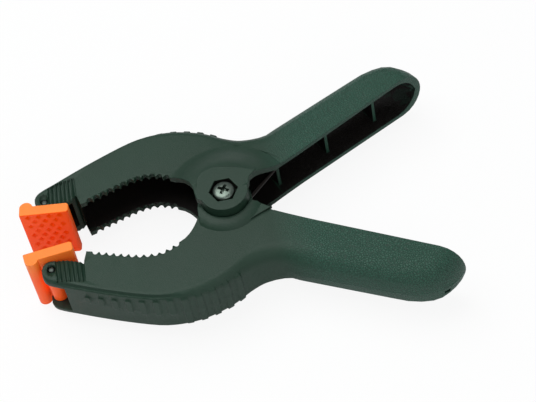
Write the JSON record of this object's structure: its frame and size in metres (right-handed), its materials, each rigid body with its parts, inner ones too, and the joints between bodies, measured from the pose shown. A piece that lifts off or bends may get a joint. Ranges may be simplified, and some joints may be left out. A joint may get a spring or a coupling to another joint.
{
  "type": "spring clamp",
  "caption": "Spring clamp with hollow toothed jaws, ribbed handles, a coil spring round the pivot screw and swivelling pads.",
  "frame": {"origin": "bottom centre of the bounding box, on the plane of the lower boss's face, with the clamp lying on its side", "axes": "+X along the clamp from the pads to the handle ends, +Y to the upper arm's back, +Z along the pivot screw towards its head"},
  "size_m": [0.2238, 0.1452, 0.0486],
  "materials": {
    "nylon": "moulded nylon, fine grain on the handles",
    "pad": "soft moulded orange, matte",
    "steel": "zinc plated",
    "spring_steel": "oil hardened wire"
  },
  "bodies": {
    "lower_arm_body": {"lower_arm": "nylon", "lower_pad_pin": "steel", "pivot_screw": "steel", "pivot_nut": "steel", "torsion_spring": "spring_steel"},
    "upper_arm_body": {"upper_arm": "nylon", "upper_pad_pin": "steel"},
    "upper_pad_body": {"upper_pad": "pad"},
    "lower_pad_body": {"lower_pad": "pad"}
  },
  "joints": [
    {"name": "jaw_hinge", "type": "hinge", "parent": "lower_arm_body", "child": "upper_arm_body", "pos_m": [-0.0029, 0, 0.024], "axis": [0, 0, -1], "range_deg": [-10.5, 50], "stiffness_Nm_per_rad": 1.2, "deforming": ["torsion_spring"]},
    {"name": "upper_pad_swivel", "type": "hinge", "parent": "upper_arm_body", "child": "upper_pad_body", "pos_m": [-0.0984, 0.0218, 0.024], "axis": [0, 0, 1], "range_deg": [-9, 9]},
    {"name": "lower_pad_swivel", "type": "hinge", "parent": "lower_arm_body", "child": "lower_pad_body", "pos_m": [-0.0984, -0.0218, 0.024], "axis": [0, 0, -1], "range_deg": [-9, 9]}
  ]
}
